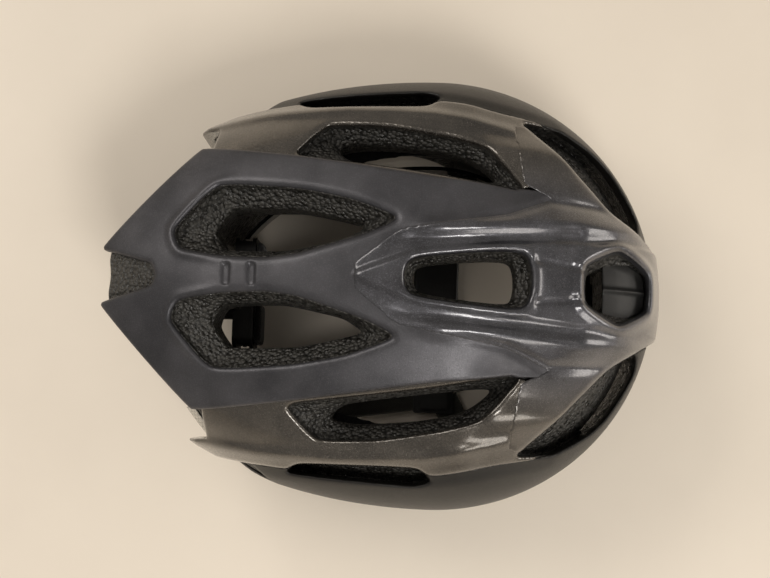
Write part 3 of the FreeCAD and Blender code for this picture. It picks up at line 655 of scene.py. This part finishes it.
# Pale tape on the rear corners of the rim, under the deck's corners
tape_plan = outline([(-108, 61), (-98, 63), (-89, 75), (-95, 78.5)], 0.08, mirrored=True)
tape_base = under_corners(band_dome)
tape_solid = join(tape_base - 0.9, -(tape_base - 0.15), 0.3)
tape_solid = np.maximum(np.maximum(tape_solid, tape_plan), np.maximum(Z - 66, 34 - Z))
both_sides("tape_", tape_solid, TAPE, "reflector_")


# ---------------------------------------------------------------- webbing
STRAP_THICKNESS = 1.5
STRAP_COLUMNS = 12                  # faces across a strap
LYING = 3.75                        # middle of a strap that lies flat, above the floor


def webbing(name, stations, width, body, replaced):
    """Flat strap through stations of (point, direction across), in millimetres."""
    rows = []
    for i in range(len(stations) - 1):
        (p, s), (q, t) = stations[i], stations[i + 1]
        p, q, s, t = (np.array(v, dtype=float) for v in (p, q, s, t))
        for k in range(24):
            f = k / 24
            rows.append((p + (q - p) * f, s + (t - s) * step(f, 0, 1)))
    rows.append(tuple(np.array(v, dtype=float) for v in stations[-1]))
    middles = np.array([r[0] for r in rows])
    for _ in range(10):     # ease the bends
        middles[1:-1] = (middles[:-2] + 2 * middles[1:-1] + middles[2:]) / 4
    tangents = np.gradient(middles, axis=0)
    lengths = np.concatenate([[0], np.cumsum(np.linalg.norm(np.diff(middles, axis=0), axis=1))])
    points, faces, uvs = [], [], []
    for middle, tangent, (_, across) in zip(middles, tangents, rows):
        tangent = tangent / np.linalg.norm(tangent)
        across = across - tangent * across.dot(tangent)
        across = across / np.linalg.norm(across)
        out = np.cross(tangent, across)
        for sign in (1, -1):
            for c in range(STRAP_COLUMNS + 1):
                u = c / STRAP_COLUMNS * 2 - 1
                # a selvedge bead at each edge
                thick = STRAP_THICKNESS / 2 * (0.78 + 0.22 * bell(abs(u) - 0.9, 0.12)) * (
                    1 - 0.55 * step(abs(u), 0.94, 1.0))
                offset = across * u * width / 2 * sign + out * sign * thick
                points.append((middle + offset) * TO_METRES)
    ring_count = 2 * (STRAP_COLUMNS + 1)
    for i in range(len(rows) - 1):
        for c in range(ring_count):
            d = (c + 1) % ring_count
            faces.append((i * ring_count + c, i * ring_count + d,
                          (i + 1) * ring_count + d, (i + 1) * ring_count + c))
            uvs += [(c, i), (c + 1, i), (c + 1, i + 1), (c, i + 1)]
    last = (len(rows) - 1) * ring_count
    for c in range(STRAP_COLUMNS):
        faces.append((c + 1, c, ring_count - 1 - c, ring_count - 2 - c))
        faces.append((last + c, last + c + 1, last + ring_count - 2 - c, last + ring_count - 1 - c))
        uvs += [(0, 0)] * 8
    piece = mesh_object(name, [tuple(p) for p in points], faces)
    layer = piece.data.uv_layers.new(name="weave")
    per_column = width / STRAP_COLUMNS
    for loop, (c, i) in enumerate(uvs):
        layer.data[loop].uv = (c * per_column * TO_METRES,
                               lengths[min(i, len(lengths) - 1)] * TO_METRES)
    piece.data.materials.append(WEBBING)
    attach(piece, body)
    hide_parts(replaced)
    return piece


for name, sign in (("left", 1), ("right", -1)):
    for place_name, x, top_y, foot_y, end_x, lean in (
            ("front", 43.0, 79.0, 72.5, 34.0, -2.4), ("rear", -38.0, 69.2, 62.0, 22.0, 3.4)):
        run = np.array((end_x - x, 53.0 - foot_y))
        run = run / np.linalg.norm(run)
        flat = (-run[1] * 6, run[0] * 6 * sign, 0)
        if flat[0] < 0:
            flat = tuple(-v for v in flat)
        upright = (7.5, lean * sign, 0)
        webbing("webbing_" + place_name + "_" + name, [
            ((x, top_y * sign, 46.0), upright),
            ((x, foot_y * sign, 5.2), upright),
            ((x + run[0] * 4, (foot_y + run[1] * 4) * sign, LYING), flat),
            ((end_x, 53.0 * sign, LYING), flat)],
            15.0 if place_name == "front" else 14.0, "root",
            "strap_" + place_name + "_" + name)
webbing("webbing_chin_left", [((28, 27, LYING), (1, 0, 0)), ((28, 38, LYING), (1, 0, 0))], 15.0,
        "root", "chin_strap_left")
webbing("webbing_chin_right", [((28, -11, LYING), (1, 0, 0)), ((28, -49, LYING), (1, 0, 0))], 15.0,
        "tongue", "chin_strap_right")


# ---------------------------------------------------------------- pads
def pad(node_name, swell, body, push):
    """Soft pad: the node's own shape, remeshed, smoothed, inflated as cloth, and rounded by one
    subdivision.
    """
    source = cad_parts[node_name]
    piece = bpy.data.objects.new(node_name.replace("_pad", "_cushion"), source.data.copy())
    scene.collection.objects.link(piece)
    bpy.context.view_layer.objects.active = piece
    for other in bpy.context.selected_objects:
        other.select_set(False)
    piece.select_set(True)
    remesh = piece.modifiers.new("remesh", "REMESH")
    remesh.mode = "VOXEL"
    remesh.voxel_size = 0.0016
    bpy.ops.object.modifier_apply(modifier=remesh.name)
    smooth = piece.modifiers.new("smooth", "SMOOTH")
    smooth.factor = 0.5
    smooth.iterations = 6
    bpy.ops.object.modifier_apply(modifier=smooth.name)
    count = len(piece.data.vertices)
    start = np.empty(count * 3, dtype=np.float32)
    piece.data.vertices.foreach_get("co", start)
    cloth = piece.modifiers.new("cloth", "CLOTH")
    cloth.settings.use_pressure = True
    cloth.settings.uniform_pressure_force = 4.0
    cloth.settings.tension_stiffness = 20.0
    cloth.settings.effector_weights.gravity = 0.0
    cloth.point_cache.frame_start = 1
    cloth.point_cache.frame_end = push
    for f in range(1, push + 1):
        scene.frame_set(f)
    bpy.ops.object.modifier_apply(modifier=cloth.name)
    moved = np.empty(count * 3, dtype=np.float32)
    piece.data.vertices.foreach_get("co", moved)
    delta = (moved - start).reshape(-1, 3)
    size = np.linalg.norm(delta, axis=1, keepdims=True)
    delta = delta * np.minimum(1.0, swell * TO_METRES / np.maximum(size, 1e-9))
    piece.data.vertices.foreach_set("co", (start.reshape(-1, 3) + delta).ravel())
    scene.frame_set(1)
    rounds = piece.modifiers.new("rounds", "SUBSURF")
    rounds.levels = 1
    rounds.render_levels = 1
    bpy.ops.object.modifier_apply(modifier=rounds.name)
    piece.data.shade_smooth()
    piece.data.materials.clear()
    piece.data.materials.append(KNIT)
    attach(piece, body)
    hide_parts(node_name)
    return piece


for node_name, body in (("brow_pad", "root"), ("crown_pad", "root"), ("side_pad_left", "root"),
                        ("side_pad_right", "root"), ("cradle_pad_left", "cradle"),
                        ("cradle_pad_right", "cradle")):
    pad(node_name, 0.8, body, 12)
